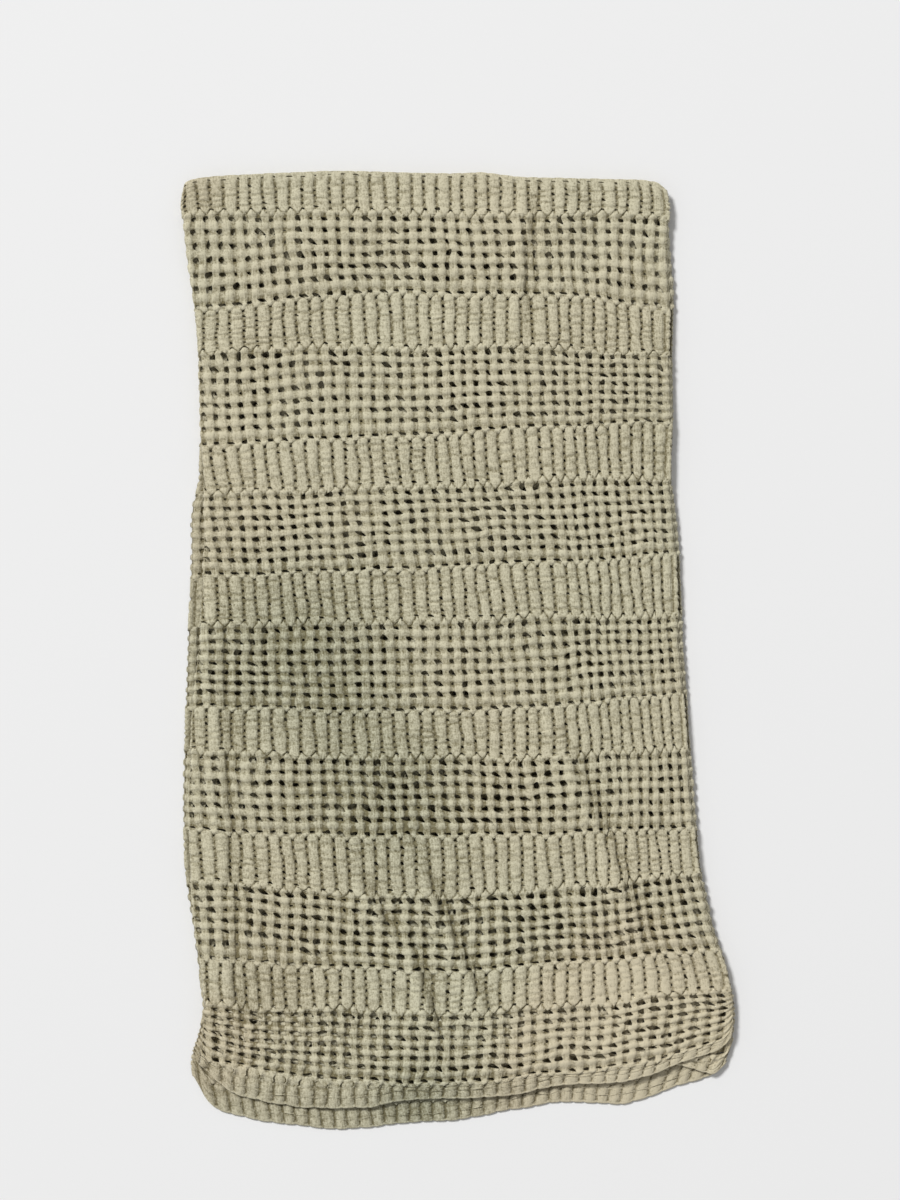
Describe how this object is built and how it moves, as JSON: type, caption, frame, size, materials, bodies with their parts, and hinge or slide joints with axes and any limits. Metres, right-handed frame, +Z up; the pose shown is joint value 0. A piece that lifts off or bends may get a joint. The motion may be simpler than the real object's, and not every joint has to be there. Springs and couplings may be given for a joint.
{
  "type": "folded open weave throw blanket",
  "caption": "Throw blanket of open waffle weave with bands of ribs, folded in three across its width, lying flat.",
  "frame": {"origin": "bottom centre of the folded blanket's box, on the surface it lies on", "axes": "+Y from the lower hems to the upper hem, +X from the top panel's folded side to its selvedge, +Z up through the layers"},
  "size_m": [0.4604, 0.7932, 0.0172],
  "materials": {
    "cotton": "matt undyed cotton yarn, grey beige with a faint green cast, openly woven"
  },
  "bodies": {
    "root": {"folded_blanket": "cotton"}
  },
  "joints": []
}
